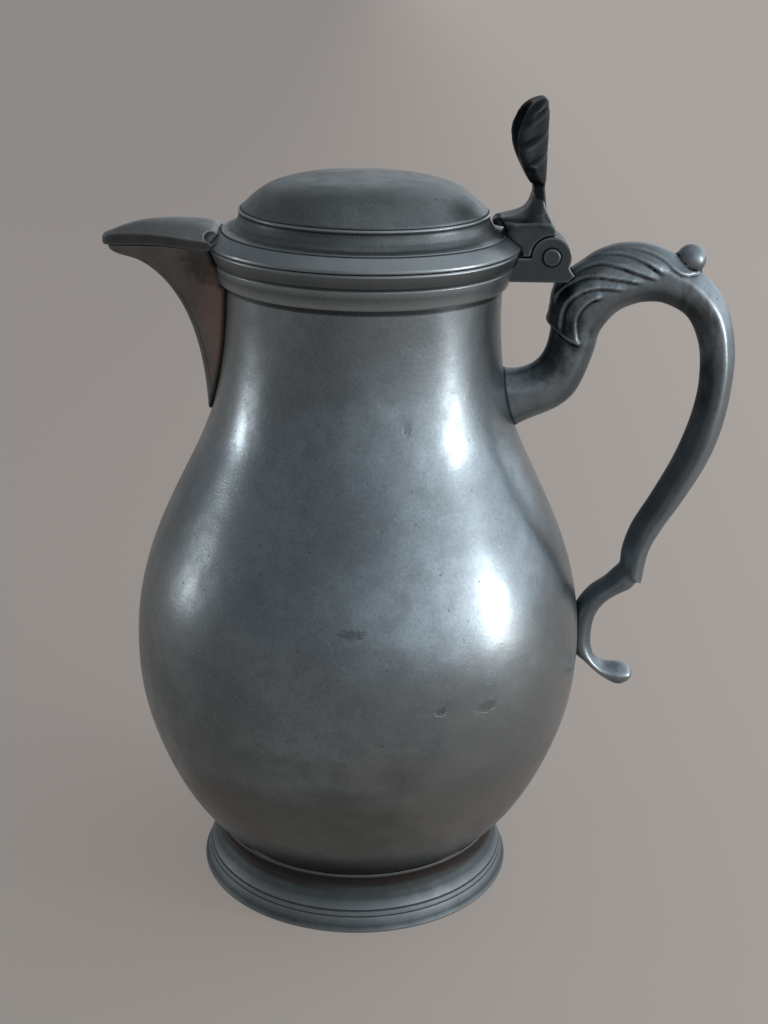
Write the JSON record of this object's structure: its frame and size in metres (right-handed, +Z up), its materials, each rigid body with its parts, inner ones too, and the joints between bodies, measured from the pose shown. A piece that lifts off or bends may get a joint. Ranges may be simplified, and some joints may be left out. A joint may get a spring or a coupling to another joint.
{
  "type": "lidded pewter jug",
  "caption": "Round-bellied pewter jug with a beak spout, a hinged domed lid with a shell thumbpiece, and a leaf-wrapped scroll handle.",
  "frame": {"origin": "centre of the foot's underside, on the axis of the turned body", "axes": "+Z up; the spout points along -X and the handle along +X; the lid's hinge pin lies along Y"},
  "size_m": [0.2072, 0.153, 0.2716],
  "materials": {
    "pewter_dark": "satin, worn, dark grey pewter",
    "pewter_lid": "satin pewter, rubbed brighter by use",
    "pewter_brown": "satin pewter with a brownish patina"
  },
  "bodies": {
    "jug": {"base_disc": "pewter_dark", "foot_ring": "pewter_brown", "body_lower": "pewter_dark", "body_upper": "pewter_dark", "rim_band": "pewter_brown", "spout": "pewter_dark", "handle": "pewter_dark", "hinge_bracket": "pewter_brown", "hinge_pin": "pewter_brown"},
    "lid": {"lid_dome": "pewter_lid", "lid_ring": "pewter_lid", "spout_flap": "pewter_lid", "lid_lug": "pewter_brown", "thumbpiece": "pewter_lid"}
  },
  "joints": [
    {"name": "lid_hinge", "type": "hinge", "parent": "jug", "child": "lid", "pos_m": [0.06, 0, 0.2222], "axis": [0, 1, 0], "range_deg": [0, 86]}
  ]
}
